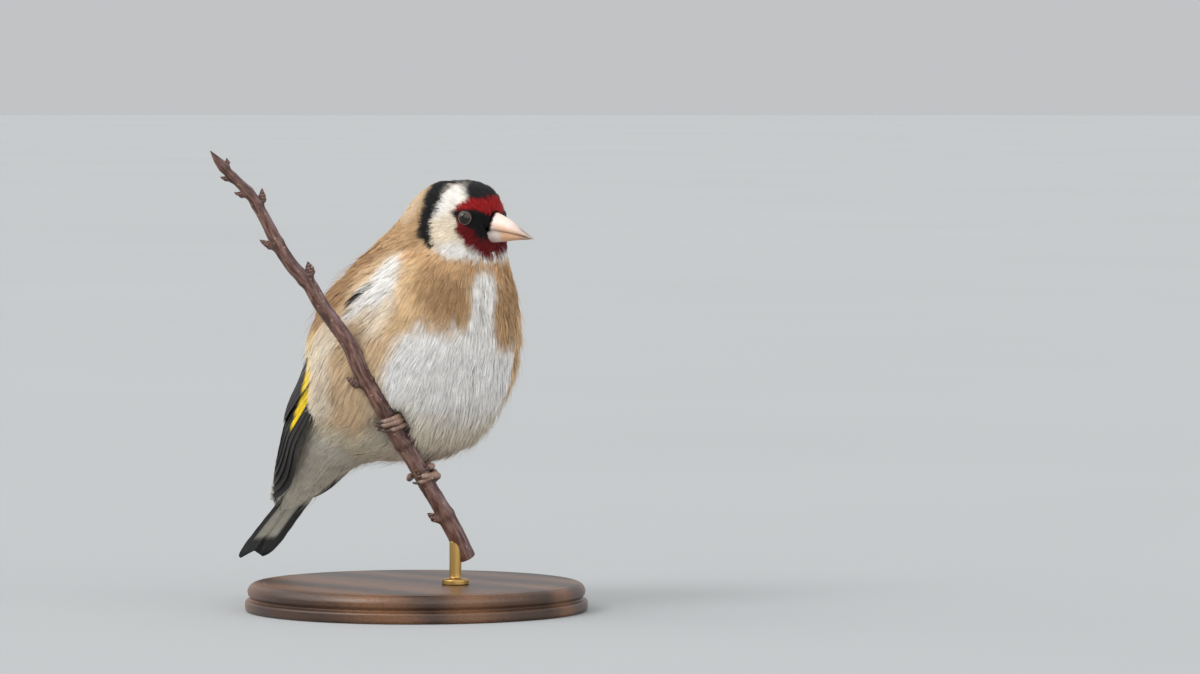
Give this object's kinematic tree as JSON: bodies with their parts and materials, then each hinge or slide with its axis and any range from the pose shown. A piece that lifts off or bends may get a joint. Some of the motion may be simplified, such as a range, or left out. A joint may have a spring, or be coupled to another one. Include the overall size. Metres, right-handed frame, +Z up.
{
  "type": "european goldfinch model",
  "caption": "Life-size museum model of a fluffed-up European goldfinch gripping a cut twig, held by a short rod on a round display base",
  "frame": {"origin": "centre of the display base's underside, on the floor", "axes": "+X is the way the bird's trunk heads, +Y its left side, +Z up"},
  "size_m": [0.1049, 0.1049, 0.1159],
  "materials": {
    "face_plumage": "soft, velvety",
    "neck_plumage": "soft",
    "body_plumage": "soft, fluffed",
    "tail_feathers": "satin vanes",
    "wing_feathers": "satin vanes",
    "leg_skin": "scaled, satin",
    "eye": "wet gloss",
    "bill_horn": "satin horn",
    "bark": "rough bark",
    "base_wood": "waxed, satin",
    "rod_metal": "satin"
  },
  "bodies": {
    "root": {"head": "face_plumage", "neck": "neck_plumage", "torso": "body_plumage", "tail": "tail_feathers", "wing_left": "wing_feathers", "wing_right": "wing_feathers", "leg_left": "leg_skin", "leg_right": "leg_skin", "foot_left": "leg_skin", "foot_right": "leg_skin", "eye_left": "eye", "eye_right": "eye", "bill_upper": "bill_horn", "bill_lower": "bill_horn", "perch": "bark", "stand_base": "base_wood", "stand_rod": "rod_metal"}
  },
  "joints": []
}
